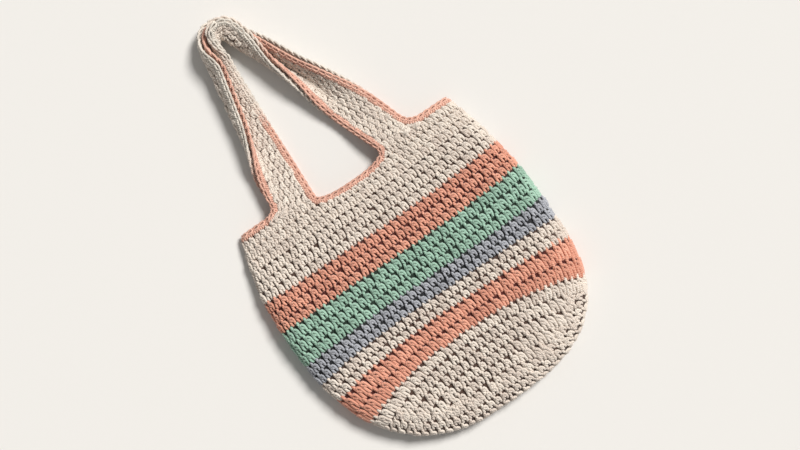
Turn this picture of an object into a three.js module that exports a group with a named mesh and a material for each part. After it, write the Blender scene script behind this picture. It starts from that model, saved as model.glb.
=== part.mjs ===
// A crocheted cotton market bag, lying flat on its back as it comes to rest when it is empty.
// The body is a striped tube of fabric, closed by a round base that folds in half along the bottom edge.
// Each panel carries a strap handle, and a chain edging runs round the mouth and both handle holes.
// Millimetres. +X runs across the bag, +Y from the base to the handles, +Z up through the flat bag.
import * as THREE from 'three';

// Fabric
const fabricThickness = 4.5;
const ridgeDepth = 2; // how far the groove between two rows sinks into the fabric
const joinGap = 0.3; // clearance where one yarn meets the next

// Height of one row in each stripe, and of one round of the base
const upperRow = 12.6;
const upperCoralRow = 12.2;
const greenRow = 13.4;
const greyRow = 10.7;
const creamRow = 10.5;
const lowerCoralRow = 15.4;
const baseRound = 12;

// Stripes from the rim down, one yarn each, and the base below them
const cream = 0xe9ddcc;
const coral = 0xde9078;
const green = 0x9cbfab;
const grey = 0xa9abb2;
const stripes = [
  { name: 'upper_body', rows: 6, rowHeight: upperRow, colour: cream },
  { name: 'upper_coral_stripe', rows: 3, rowHeight: upperCoralRow, colour: coral },
  { name: 'green_stripe', rows: 3, rowHeight: greenRow, colour: green },
  { name: 'grey_stripe', rows: 2, rowHeight: greyRow, colour: grey },
  { name: 'cream_stripe', rows: 2, rowHeight: creamRow, colour: cream },
  { name: 'lower_coral_stripe', rows: 2, rowHeight: lowerCoralRow, colour: coral },
  { name: 'base', rows: 8, rowHeight: baseRound, colour: cream },
];

// Plan of the flat body, measured down from the rim
const widestHalfWidth = 167;
const leftRimHalfWidth = 146;
const rightRimHalfWidth = 142;
const leftWidestDrop = 118; // the left side is widest here
const rightWidestDrop = 163; // the right side has slumped, so it is widest lower down
const slumpWidth = 80; // half the width over which one side's shape turns into the other's
const sideBow = 2.2; // exponent of the side's curve between the rim and its widest place
const leftBottomBow = 2.5; // exponents of the rounded bottom
const rightBottomBow = 2.9;
const leftRowSpread = 0.25; // how much wider the rows lie along the left edge near the base
const rightRowSpread = 0.345;
const rowSag = 2.6; // exponent of the bend of a row towards its ends

// Height of the flat body
const rimHeight = 17;
const bodyHeight = 33;
const swellLength = 113; // below the rim, over which the rim's height grows to the body's
const crownHeight = 2.5; // the middle of the upper panel stands this much prouder
const foldLevel = 0.42; // height of the side folds as a share of the height
const pillowEdge = 10; // exponent that keeps the panels flat and their edges round
const edgeInset = 6; // exponent of the inside's step back from the outline
const lowerPress = 1.06; // the lower panel is pressed this much flatter by what it lies on
const pressedHeight = 0.5; // fabric lower than this is pressed flat and shows no ridges

// Handles
const strapWidth = 36;
const leftRoot = -71.8; // where the middle of each leg leaves the rim
const rightRoot = 65.5;
const handleRise = 224; // of the crease's right top corner above the rim
const leftTopDrop = 24; // of its left top corner below the right one
const leftTop = -54.2; // where the two top corners lie across the bag
const rightTop = -33.1;
const rightBendAt = 20.7; // where the slight bend in the right leg lies across the bag
const bendShare = 0.482; // its rise as a share of the handle's
const leftCrease = { root: 14, top: -8 }; // how far the crease lies from the strap's middle, outwards
const rightCrease = { root: -10, top: 2 };
const leftTurn = 30; // radii of the crease at its top corners and at the bend
const rightTurn = 13;
const bendRadius = 150;
const rootFillet = 16; // between the rim and a leg's outer edge
const neckDepth = 19; // of the dip in the rim between the legs
const neckBow = 2.6; // exponent of that dip
const neckRows = 3; // rows that crowd together under it
const creaseRadius = 6; // of the lengthwise fold in the strap
const layerGap = 2; // between the two handles, which lie one in the other
const rootRun = 70; // length over which a leg settles from its panel onto the other handle
// Lean of the strap's two halves, reached between two shares of a leg's length from its root
const leans = {
  leftOuter: { degrees: 132, from: 0.08, to: 0.6 },
  leftInner: { degrees: 15, from: 0.25, to: 0.8 },
  rightOuter: { degrees: 60, from: 0.1, to: 0.65 },
  rightInner: { degrees: 120, from: 0.2, to: 0.9 },
};
const topLeans = { outerDegrees: 25, innerDegrees: 150 }; // at the top of the handle
const topCrease = 11; // how far the crease lies outside the strap's middle there
const twist = { from: 0.9, to: 1.25 }; // shares of the left leg's length where its fold turns into the top's
const untwist = 0.3; // share of the right leg's length where the top's fold turns into its own

// Chain edging
const edgingWidth = 6;
const edgingThickness = 4.2;
const edgingGap = 0.7; // between the edging and the fabric's edge
const edgingStitch = 13.5; // length of one chain stitch
const edgingWaist = 0.72; // thickness between two stitches as a share of the full one
const edgingSides = 5;

const bodyLength = stripes.reduce((sum, { rows, rowHeight }) => sum + rows * rowHeight, 0);
const strapSpacing = fabricThickness + layerGap;
const { lerp, smoothstep, clamp, degToRad } = THREE.MathUtils;

// Points at given shares of a polyline's length, and what another list holds at the same places
function alongPolyline(points, shares, other = points) {
  const lengths = [0];
  for (let i = 1; i < points.length; i++) {
    lengths.push(lengths[i - 1] + points[i].distanceTo(points[i - 1]));
  }
  const total = lengths[lengths.length - 1];
  return shares.map((share) => {
    const target = clamp(share, 0, 1) * total;
    let i = 1;
    while (i < lengths.length - 1 && lengths[i] < target) i++;
    const step = lengths[i] - lengths[i - 1] || 1;
    return other[i - 1].clone().lerp(other[i], (target - lengths[i - 1]) / step);
  });
}

// A skin over rings of equally many points: closed on itself, or ended by a fan to a tip at each end
function loft(rings, tips) {
  const count = rings[0].length;
  const points = rings.flat();
  const faces = [];
  const spans = tips ? rings.length - 1 : rings.length;
  for (let r = 0; r < spans; r++) {
    const here = r * count;
    const next = ((r + 1) % rings.length) * count;
    for (let i = 0; i < count; i++) {
      const j = (i + 1) % count;
      faces.push(here + i, here + j, next + j, here + i, next + j, next + i);
    }
  }
  if (tips) {
    const last = (rings.length - 1) * count;
    const first = points.push(tips[0]) - 1;
    const end = points.push(tips[1]) - 1;
    for (let i = 0; i < count; i++) {
      const j = (i + 1) % count;
      faces.push(first, j, i, end, last + i, last + j);
    }
  }
  let volume = 0;
  const normal = new THREE.Vector3();
  for (let f = 0; f < faces.length; f += 3) {
    normal.crossVectors(points[faces[f + 1]], points[faces[f + 2]]);
    volume += normal.dot(points[faces[f]]);
  }
  if (volume < 0) faces.reverse();
  const geometry = new THREE.BufferGeometry().setFromPoints(points);
  geometry.setIndex(faces);
  geometry.computeVertexNormals();
  return geometry;
}

const bag = new THREE.Group();

function addPiece(name, geometry, colour) {
  const material = new THREE.MeshStandardMaterial({ color: colour, roughness: 0.9, metalness: 0 });
  const mesh = new THREE.Mesh(geometry, material);
  mesh.name = name;
  bag.add(mesh);
}

// Plan outline of the body

const leftToRight = (x, left, right) => lerp(left, right, smoothstep(x, -slumpWidth, slumpWidth));
const widestDrop = (x) => leftToRight(x, leftWidestDrop, rightWidestDrop);
const bottomBow = (x) => leftToRight(x, leftBottomBow, rightBottomBow);

function upperHalfWidth(x, drop) {
  const rise = Math.max(0, 1 - drop / widestDrop(x));
  const rim = leftToRight(x, leftRimHalfWidth, rightRimHalfWidth);
  return lerp(widestHalfWidth, rim, rise ** sideBow);
}

// How far a place of the panel lies towards the outline: 0 in its middle, 1 on the outline
function outlineShare(x, drop) {
  const widest = widestDrop(x);
  const bow = bottomBow(x);
  const across = Math.abs(x) / upperHalfWidth(x, drop);
  const down = Math.max(0, drop - widest) / (bodyLength - widest);
  const share = Math.min(1, (across ** bow + down ** bow) ** (1 / bow));
  return { across, down, share };
}

// One side's outline from the rim to the middle of the bottom edge, as x and drop
function sideOutline(side) {
  const edge = side * widestHalfWidth;
  const steps = 24;
  const points = [];
  for (let i = 0; i < steps; i++) {
    const drop = (widestDrop(edge) * i) / steps;
    points.push(new THREE.Vector2(side * upperHalfWidth(edge, drop), drop));
  }
  for (let i = 0; i <= steps; i++) {
    const share = i === steps ? 0 : Math.cos(((Math.PI / 2) * i) / steps) ** (2 / bottomBow(edge));
    const bow = bottomBow(edge * share);
    const widest = widestDrop(edge * share);
    const drop = lerp(widest, bodyLength, (1 - share ** bow) ** (1 / bow));
    points.push(new THREE.Vector2(edge * share, drop));
  }
  return points;
}
const leftOutline = sideOutline(-1);
const rightOutline = sideOutline(1);

// The fabric of the body: drop is how far a row lies below the rim in the middle of the panel,
// face is 1 above and -1 below, share runs along the row from the left fold to the right one

function rowEnd(outline, spread, drop) {
  const share = drop / bodyLength;
  return alongPolyline(outline, [(1 - spread) * share + spread * share ** 3])[0];
}

function heightAt(drop) {
  return lerp(rimHeight, bodyHeight, smoothstep(drop, 0, swellLength));
}

function rowLine(middle, face) {
  const left = rowEnd(leftOutline, leftRowSpread, middle);
  const right = rowEnd(rightOutline, rightRowSpread, middle);
  const steps = 80;
  const points = [];
  for (let i = 0; i <= steps; i++) {
    const across = -Math.cos((Math.PI * i) / steps);
    const x = lerp(left.x, right.x, (across + 1) / 2);
    const end = across < 0 ? left.y : right.y;
    const drop = middle + (end - middle) * Math.abs(across) ** rowSag;
    const share = i === 0 || i === steps ? 1 : outlineShare(x, drop).share;
    const round = Math.sqrt(1 - share ** pillowEdge);
    const fold = foldLevel * heightAt(drop);
    const top = heightAt(drop) + crownHeight * (1 - share ** 2) - fold;
    const z = face > 0 ? fold + top * round : Math.max(0, fold - lowerPress * fold * round);
    points.push(new THREE.Vector3(x, -drop, z));
  }
  return points;
}

// Outside and inside of the fabric at one place of the body
function fabricAt(rowDrop, face, share) {
  const outer = alongPolyline(rowLine(rowDrop, face), [share])[0];
  const drop = -outer.y;
  const height = heightAt(drop);
  const fold = foldLevel * height;
  const depth = face > 0 ? height - fold : fold;
  const { across, down, share: edge } = outlineShare(outer.x, drop);
  const inset = fabricThickness * edge ** edgeInset;
  const inner = new THREE.Vector3(
    outer.x - (Math.sign(outer.x) * inset * across) / (edge || 1),
    outer.y + (inset * down) / (edge || 1),
    fold + (outer.z - fold) * (1 - fabricThickness / depth),
  );
  return { outer, inner };
}

// Legs of the handles at the rim

const neckLeft = leftRoot + strapWidth / 2;
const neckRight = rightRoot - strapWidth / 2;
const outerLeft = leftRoot - strapWidth / 2 - rootFillet;
const outerRight = rightRoot + strapWidth / 2 + rootFillet;

function neckDrop(x) {
  const across = Math.abs((2 * x - neckLeft - neckRight) / (neckRight - neckLeft));
  return across < 1 ? neckDepth * (1 - across ** neckBow) ** (1 / neckBow) : 0;
}

// Share along the rim at a given x
function rimShare(x) {
  const line = rowLine(0, 1);
  let length = 0;
  let found = 0;
  for (let i = 1; i < line.length; i++) {
    const step = line[i].distanceTo(line[i - 1]);
    if (line[i - 1].x < x) found = length + (step * (x - line[i - 1].x)) / (line[i].x - line[i - 1].x);
    length += step;
  }
  return found / length;
}

// Columns of the body's skin: close at the folds, then at the legs and across the neckline
const neckShares = [0, 0.04, 0.16, 0.36, 0.64, 0.84, 0.96, 1];
const foldShares = [0, 0.012, 0.03, 0.06];
const shares = [
  ...foldShares,
  rimShare(outerLeft),
  rimShare((outerLeft + neckLeft) / 2),
  ...neckShares.map((share) => rimShare(lerp(neckLeft, neckRight, share))),
  rimShare((outerRight + neckRight) / 2),
  rimShare(outerRight),
  ...foldShares.map((share) => 1 - share).reverse(),
];
const columns = [
  ...shares.map((share) => ({ face: 1, share })),
  ...shares.slice(1, -1).reverse().map((share) => ({ face: -1, share })),
];
const rimX = columns.map(({ face, share }) => fabricAt(0, face, share).outer.x);

// A closed line of points round the body, sunk into the fabric by a share of its thickness
const neckCrowd = neckRows * upperRow;

function lineRound(drop, sink) {
  return columns.map(({ face, share }, i) => {
    const crowd = Math.max(0, 1 - drop / neckCrowd);
    const { outer, inner } = fabricAt(drop + crowd * neckDrop(rimX[i]), face, share);
    const pressed = outer.z < pressedHeight && sink < 1;
    return outer.lerp(inner, pressed ? 0 : sink);
  });
}

// Lines of a stripe's outside: a groove at each end of a row and a crest in its middle
function ridgedLines(from, rows, rowHeight, gaps) {
  const lines = [];
  for (let half = 0; half <= 2 * rows; half++) {
    const start = half === 0 ? gaps[0] : 0;
    const end = half === 2 * rows ? gaps[1] : 0;
    const drop = from + (half / 2) * rowHeight + start - end;
    lines.push(lineRound(drop, half % 2 ? 0 : ridgeDepth / fabricThickness));
  }
  return lines;
}

let top = 0;
for (const { name, rows, rowHeight, colour } of stripes) {
  const isRim = top === 0;
  const isBase = name === 'base';
  const bottom = top + rows * rowHeight;
  const gaps = [isRim ? 0 : joinGap / 2, joinGap / 2];
  const outside = ridgedLines(top, rows, rowHeight, gaps);
  const inside = [lineRound(top + gaps[0], 1)];
  for (let row = 2; row < rows; row += 2) inside.push(lineRound(top + row * rowHeight, 1));
  if (isBase) {
    // The base is worked in rounds to its centre, which lies on the bottom fold
    const centre = fabricAt(bodyLength, 1, 0);
    outside.pop();
    addPiece(name, loft([...outside.reverse(), ...inside], [centre.outer, centre.inner]), colour);
  } else {
    inside.push(lineRound(bottom - gaps[1], 1));
    addPiece(name, loft([...outside, ...inside.reverse()]), colour);
  }
  top = bottom;
}

// Handles: a strap whose crease runs up one leg, over two rounded corners and down the other leg

const leftFoot = new THREE.Vector2(leftRoot - leftCrease.root, 0);
const rightFoot = new THREE.Vector2(rightRoot + rightCrease.root, 0);
const leftCorner = new THREE.Vector2(leftTop, handleRise - leftTopDrop);
const rightBend = new THREE.Vector2(rightBendAt, bendShare * handleRise);
const rightCorner = new THREE.Vector2(rightTop, handleRise);

function roundCorner(path, before, corner, after, radius) {
  const into = corner.clone().sub(before).normalize();
  const out = after.clone().sub(corner).normalize();
  const run = radius * Math.tan(Math.acos(into.dot(out)) / 2);
  const start = corner.clone().addScaledVector(into, -run);
  const end = corner.clone().addScaledVector(out, run);
  const centre = start.clone().add(new THREE.Vector2(into.y, -into.x).multiplyScalar(radius));
  path.lineTo(start.x, start.y);
  const angles = [start, end].map((point) => point.clone().sub(centre).angle());
  path.absarc(centre.x, centre.y, radius, angles[0], angles[1], true);
}

const crease = new THREE.Path();
crease.moveTo(leftFoot.x, leftFoot.y);
roundCorner(crease, leftFoot, leftCorner, rightCorner, leftTurn);
const leftLength = crease.curves[0].getLength();
roundCorner(crease, leftCorner, rightCorner, rightBend, rightTurn);
const turnEnd = crease.getLength();
roundCorner(crease, rightCorner, rightBend, rightFoot, bendRadius);
crease.lineTo(rightFoot.x, rightFoot.y);
const handleLength = crease.getLength();
const rightLength = handleLength - turnEnd;

// Place of the strap's crease and the direction across it, towards the strap's outer edge
function strapFrame(run) {
  const share = clamp(run / handleLength, 0, 1);
  const along = crease.getTangent(share);
  return { place: crease.getPoint(share), outward: new THREE.Vector2(-along.y, along.x) };
}

// The lean of the strap's two halves, and how far its crease lies outside its middle:
// the half on the left of each leg folds over the other half
function strapFold(run) {
  const left = clamp(run / leftLength, 0, 1);
  const right = clamp((handleLength - run) / rightLength, 0, 1);
  const rising = smoothstep(run, twist.from * leftLength, twist.to * leftLength);
  const falling = smoothstep(run, turnEnd, turnEnd + untwist * rightLength);
  const blend = (onLeft, onTop, onRight) => lerp(lerp(onLeft, onTop, rising), onRight, falling);
  const lean = ({ degrees, from, to }, share) => degrees * smoothstep(share, from, to);
  const shift = ({ root: foot, top: head }, share) => lerp(foot, head, share);
  return {
    outer: degToRad(blend(lean(leans.leftOuter, left), topLeans.outerDegrees, lean(leans.rightOuter, right))),
    inner: degToRad(blend(lean(leans.leftInner, left), topLeans.innerDegrees, lean(leans.rightInner, right))),
    shift: blend(shift(leftCrease, left), topCrease, shift(rightCrease, right)),
  };
}

// A point of the strap: across is the distance from its middle line, positive towards its outer edge,
// and lift is the height above the middle of the pair of handles, square to the fabric
function strapPoint(run, across, lift) {
  const { place, outward } = strapFrame(run);
  const nearRoot = Math.min(run, handleLength - run);
  const onRim = 1 - smoothstep(nearRoot, 0, rootRun);
  const rimSide = new THREE.Vector2(run < handleLength / 2 ? -1 : 1, 0);
  const side = outward.lerp(rimSide, onRim).normalize();
  const fold = strapFold(run);
  const fromCrease = across - fold.shift;
  const angleLimit = fromCrease > 0 ? fold.outer : fold.inner;
  const angle = Math.min(Math.abs(fromCrease) / creaseRadius, angleLimit);
  const beyond = Math.abs(fromCrease) - creaseRadius * angle;
  const reach = creaseRadius * Math.sin(angle) + beyond * Math.cos(angle) - lift * Math.sin(angle);
  const rise = creaseRadius * (1 - Math.cos(angle)) + beyond * Math.sin(angle) + lift * Math.cos(angle);
  const flare = across > 0 && nearRoot < rootFillet ? rootFillet - nearRoot : 0;
  const fillet = (rootFillet - Math.sqrt(rootFillet ** 2 - flare ** 2)) * (across / (strapWidth / 2));
  const plan = place.addScaledVector(side, Math.sign(fromCrease) * reach + Math.max(0, fillet));
  return new THREE.Vector3(plan.x, plan.y, rise);
}

// Distance between the middle surfaces of the two handles
function pairSpacing(run) {
  const nearRoot = Math.min(run, handleLength - run);
  return lerp(rimHeight + crownHeight - fabricThickness, strapSpacing, smoothstep(nearRoot, 0, rootRun));
}

function handlePoint(face, run, across, proud) {
  const spacing = pairSpacing(run);
  const point = strapPoint(run, across, (face * spacing) / 2 + proud);
  point.y += joinGap * (1 - smoothstep(Math.min(run, handleLength - run), 0, rootRun));
  point.z += (fabricThickness + spacing) / 2;
  return point;
}

const legSteps = 10;
const twistSteps = 6;
const turnSteps = 8;
const rootCrowding = 1.2; // exponent that sets the stations closer at the roots' fillets
const twistStart = twist.from * leftLength;
const twistEnd = turnEnd + untwist * rightLength;
const runs = [];
for (let i = 0; i < legSteps; i++) runs.push(twistStart * (i / legSteps) ** rootCrowding);
for (let i = 0; i < twistSteps; i++) runs.push(lerp(twistStart, leftLength, i / twistSteps));
for (let i = 0; i < turnSteps; i++) runs.push(lerp(leftLength, turnEnd, i / turnSteps));
for (let i = 0; i < twistSteps; i++) runs.push(lerp(turnEnd, twistEnd, i / twistSteps));
for (let i = legSteps; i >= 0; i--) {
  runs.push(handleLength - (handleLength - twistEnd) * (i / legSteps) ** rootCrowding);
}

// Distances across the strap: its two edges, its crease and the steps of the fold on each side of it
const foldSteps = [1 / 3, 2 / 3, 1];
const flatFold = 6; // width that these steps keep where the strap lies flat
const foldLimit = 0.8; // most that they take of a half's width

function acrossAt(run) {
  const { outer, inner, shift } = strapFold(run);
  const steps = (lean, width) => {
    const fold = Math.min(Math.max(creaseRadius * lean, flatFold), foldLimit * width);
    return [...foldSteps.map((share) => share * fold), width];
  };
  const outwards = steps(outer, strapWidth / 2 - shift).map((step) => shift + step);
  const inwards = steps(inner, strapWidth / 2 + shift).map((step) => shift - step);
  return [...inwards.reverse(), shift, ...outwards];
}

function handle(face) {
  const rings = runs.map((run) => {
    const ring = (proud) => acrossAt(run).map((across) => handlePoint(face, run, across, proud));
    return [...ring(fabricThickness / 2), ...ring(-fabricThickness / 2).reverse()];
  });
  const tips = [0, handleLength].map((run) => handlePoint(face, run, 0, 0));
  return loft(rings, tips);
}
addPiece('front_handle', handle(1), cream);
addPiece('back_handle', handle(-1), cream);

// Edging: chain stitches along a closed edge, given by its points and the fabric's outside there

function edging(edge) {
  const loop = [...edge, edge[0]];
  const line = loop.map(({ point }) => point);
  let length = 0;
  for (let i = 1; i < line.length; i++) length += line[i].distanceTo(line[i - 1]);
  const stitches = Math.round(length / edgingStitch);
  const spots = Array.from({ length: 2 * stitches }, (_, i) => i / (2 * stitches));
  const points = alongPolyline(line, spots);
  const outsides = alongPolyline(line, spots, loop.map(({ outside }) => outside));
  const rings = points.map((point, i) => {
    const before = points[(i + points.length - 1) % points.length];
    const after = points[(i + 1) % points.length];
    const along = after.clone().sub(before).normalize();
    const away = outsides[i].clone().cross(along).normalize();
    const up = along.clone().cross(away);
    const size = i % 2 ? edgingWaist : 1;
    const middle = point.clone().addScaledVector(away, edgingGap + edgingWidth / 2);
    return Array.from({ length: edgingSides }, (_, k) => {
      const angle = (2 * Math.PI * (k + 0.5)) / edgingSides;
      return middle.clone()
        .addScaledVector(away, (size * edgingWidth * Math.cos(angle)) / 2)
        .addScaledVector(up, (size * edgingThickness * Math.sin(angle)) / 2);
    });
  });
  return loft(rings);
}

// Edge of a handle from its left root to its right one
function strapEdge(face, side) {
  return runs.map((run) => {
    const across = (side * strapWidth) / 2;
    const point = handlePoint(face, run, across, 0);
    const outside = handlePoint(face, run, across, fabricThickness).sub(point).normalize();
    return { point, outside: outside.multiplyScalar(face) };
  });
}

// Edge of the rim between two shares, one of them past 1 where it goes round the right fold
function rimEdge(face, shareList) {
  return shareList.map((share) => {
    const drop = neckDrop(fabricAt(0, face, share).outer.x);
    const { outer, inner } = fabricAt(drop, face, share);
    const outside = outer.clone().sub(inner).normalize();
    return { point: outer.lerp(inner, 0.5), outside };
  });
}

const rightRim = shares.filter((share) => share > rimShare(outerRight));
const leftRim = shares.filter((share) => share < rimShare(outerLeft));
const neckRim = neckShares.slice(1, -1).map((share) => rimShare(lerp(neckLeft, neckRight, share)));
addPiece('mouth_edging', edging([
  ...strapEdge(1, 1),
  ...rimEdge(1, rightRim),
  ...rimEdge(-1, rightRim.slice(0, -1).reverse()),
  ...strapEdge(-1, 1).reverse(),
  ...rimEdge(-1, leftRim.slice(1).reverse()),
  ...rimEdge(1, leftRim),
]), coral);
addPiece('front_hole_edging', edging([...strapEdge(1, -1).reverse(), ...rimEdge(1, neckRim)]), coral);
addPiece('back_hole_edging', edging([...strapEdge(-1, -1), ...rimEdge(-1, neckRim.reverse())]), coral);

// Lay the bag on z = 0 with its middle over the origin
const extent = new THREE.Box3().setFromObject(bag);
const middle = extent.getCenter(new THREE.Vector3());
bag.position.set(-middle.x, -middle.y, -extent.min.z);

const root = new THREE.Group();
root.add(bag);
export default root;
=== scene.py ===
import math
import bpy
import numpy as np
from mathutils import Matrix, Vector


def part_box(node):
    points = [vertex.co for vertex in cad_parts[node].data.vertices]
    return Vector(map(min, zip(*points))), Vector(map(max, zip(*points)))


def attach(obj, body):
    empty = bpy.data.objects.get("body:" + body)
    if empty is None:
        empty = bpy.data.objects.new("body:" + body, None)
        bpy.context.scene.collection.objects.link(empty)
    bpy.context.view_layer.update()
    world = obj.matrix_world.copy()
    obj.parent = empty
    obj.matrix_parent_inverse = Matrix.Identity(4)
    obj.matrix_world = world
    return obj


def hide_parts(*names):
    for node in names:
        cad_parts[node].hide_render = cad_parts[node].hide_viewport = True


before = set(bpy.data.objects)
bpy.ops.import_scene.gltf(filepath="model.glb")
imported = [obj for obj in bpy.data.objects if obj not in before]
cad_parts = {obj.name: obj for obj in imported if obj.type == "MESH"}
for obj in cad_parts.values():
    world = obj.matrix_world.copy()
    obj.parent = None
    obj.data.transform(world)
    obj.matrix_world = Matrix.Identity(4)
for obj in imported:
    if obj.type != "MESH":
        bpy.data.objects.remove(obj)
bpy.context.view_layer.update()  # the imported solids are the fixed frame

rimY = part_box("upper_body")[1].y  # the rim's height along the bag, every drop is measured down from it
dice = np.random.default_rng(11)  # a fixed seed, so every run sways the stitches alike
print("frame loaded, rim at", round(rimY, 4))

# yarn: colours as sRGB bytes, sizes in metres
yarn = {
    "cream": (255, 234, 222),
    "coral": (253, 179, 153),
    "green": (176, 213, 193),
    "grey": (189, 192, 200),
    "plies": 3,
    "turnLength": 0.0062,  # length of yarn in which a ply goes once round
    "sides": 6,
    "floorGap": 0.0002,  # yarn is pressed flat at this height where the bag lies on something
}


def mix(low, high, share):  # straight blend from low to high
    return low + (high - low) * share


def smooth(value, low, high):  # 0 below low, 1 above high, 3tt - 2ttt between
    t = np.clip((value - low) / (high - low), 0, 1)
    return t * t * (3 - 2 * t)


def unit(vectors):  # each vector divided by its own length
    return vectors / np.maximum(np.linalg.norm(vectors, axis=-1, keepdims=True), 1e-12)


def linearColour(rgb, gain=1.0, power=1):  # sRGB bytes to linear light, deepened by a power, times a gain
    share = np.asarray(rgb) / 255
    light = np.where(share <= 0.04045, share / 12.92, ((share + 0.055) / 1.055) ** 2.4)
    return (*np.clip(light**power * gain, 0, 1), 1.0)


class Thread:  # one socket of a node tree: + - and * on threads and numbers add Math nodes
    def __init__(self, tree, socket=None):  # without a socket it only adds nodes
        self.tree = tree
        self.socket = socket

    def node(self, kind, settings=None, inputs=None, output=0):  # any node: settings, then sockets
        item = self.tree.nodes.new(kind)
        for key, value in (settings or {}).items():
            setattr(item, key, value)
        for key, value in (inputs or {}).items():
            if isinstance(value, Thread):
                self.tree.links.new(value.socket, item.inputs[key])
            else:
                item.inputs[key].default_value = value
        return Thread(self.tree, item.outputs[output])

    def math(self, operation, first, second=0.0):  # one Math node on two values
        return self.node("ShaderNodeMath", {"operation": operation}, {0: first, 1: second})

    def __add__(self, other):
        return self.math("ADD", self, other)

    def __radd__(self, other):
        return self.math("ADD", other, self)

    def __sub__(self, other):
        return self.math("SUBTRACT", self, other)

    def __rsub__(self, other):
        return self.math("SUBTRACT", other, self)

    def __mul__(self, other):
        return self.math("MULTIPLY", self, other)

    def __rmul__(self, other):
        return self.math("MULTIPLY", other, self)

    def sine(self):  # sine of this value, in radians
        return self.math("SINE", self)

    def between(self, dark, bright):  # colour blend by this value
        return self.node("ShaderNodeMix", {"data_type": "RGBA"}, {0: self, 6: dark, 7: bright}, output=2)


yarnLook = {
    "fibreScale": 1500.0, "fibreDetail": 3.0,
    "cloudScale": 60.0, "cloudDetail": 1.0,
    "plyTone": 0.52, "fibreTone": 0.28, "cloudTone": 0.1, "shadeTone": 0.28,  # shares of the light tone
    "shadow": 0.45, "shadowPower": 1.5,  # painted shade: colour in the grooves between the plies
    # painted highlight: the ply crests go brighter than the yarn's own colour
    "bright": 1.12,
    "paintedShadeGain": 0.085, "paintedShadePower": 3, "deepShade": 0.4,  # painted shade: the backing behind the strands is coloured dark and full
    "bumpDepth": 0.0008, "bumpStrength": 0.7, "plyBump": 0.7, "fibreBump": 0.5,
    "roughness": 0.88,
    "sheen": 0.35,
}


def yarnMaterial(name, rgb, pale=None, gain=1.0, power=1):
    # ply: sine of (turns along the yarn + turns round it) times the number of plies, brought to 0 to 1;
    # tone: sum of ply, fibre, cloud and the stitch's own shade, each by its share;
    # the ply part paints shade in the grooves and a highlight on the crests, the rest is random tone
    material = bpy.data.materials.new(name)
    material.use_nodes = True
    tree = material.node_tree
    shader = tree.nodes["Principled BSDF"]
    pen = Thread(tree)
    coords = pen.node("ShaderNodeUVMap", {"uv_map": "yarn"})
    along = pen.node("ShaderNodeSeparateXYZ", {}, {0: coords}, output=0)
    around = pen.node("ShaderNodeSeparateXYZ", {}, {0: coords}, output=1)
    turns = along * (1 / yarn["turnLength"]) + around
    ply = (turns * (2 * math.pi * yarn["plies"])).sine() * 0.5 + 0.5
    place = pen.node("ShaderNodeTexCoord", output="Object")
    fibre, cloud = (
        pen.node("ShaderNodeTexNoise", {}, {
            "Vector": place, "Scale": yarnLook[noise + "Scale"], "Detail": yarnLook[noise + "Detail"],
        })
        for noise in ("fibre", "cloud")
    )
    shade = pen.node("ShaderNodeAttribute", {"attribute_name": "shade"}, output="Fac")
    tone = (ply * yarnLook["plyTone"] + fibre * yarnLook["fibreTone"]
            + cloud * yarnLook["cloudTone"] + shade * yarnLook["shadeTone"])
    dark = linearColour(rgb, yarnLook["shadow"] * gain, power * yarnLook["shadowPower"])
    bright = linearColour(rgb, yarnLook["bright"] * gain, power)
    colour = tone.between(dark, bright)
    if pale:  # the chain pales where the attribute says so
        amount = pen.node("ShaderNodeAttribute", {"attribute_name": "pale"}, output="Fac")
        paleDark = linearColour(pale, yarnLook["shadow"])
        paleBright = linearColour(pale, yarnLook["bright"])
        colour = amount.between(colour, tone.between(paleDark, paleBright))
    tree.links.new(colour.socket, shader.inputs["Base Color"])
    bump = pen.node("ShaderNodeBump", {}, {
        "Strength": yarnLook["bumpStrength"], "Distance": yarnLook["bumpDepth"],
        "Height": ply * yarnLook["plyBump"] + fibre * yarnLook["fibreBump"],
    })
    tree.links.new(bump.socket, shader.inputs["Normal"])
    shader.inputs["Roughness"].default_value = yarnLook["roughness"]
    shader.inputs["Sheen Weight"].default_value = yarnLook["sheen"]
    return material


colours = ("cream", "coral", "green", "grey")
# painted shade for the backing: the yarn's colour deepened by a power and darkened by a gain
deep = {"gain": yarnLook["paintedShadeGain"], "power": yarnLook["paintedShadePower"]}
materials = {name: yarnMaterial(name + "Yarn", yarn[name]) for name in colours}
# painted shade: the backing seen between the strands is coloured dark and full, standing in for the shade
# there
paintedShadeMaterials = {name: yarnMaterial(name + "YarnPaintedShade", yarn[name], **deep) for name in colours}
print("materials made")


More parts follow.
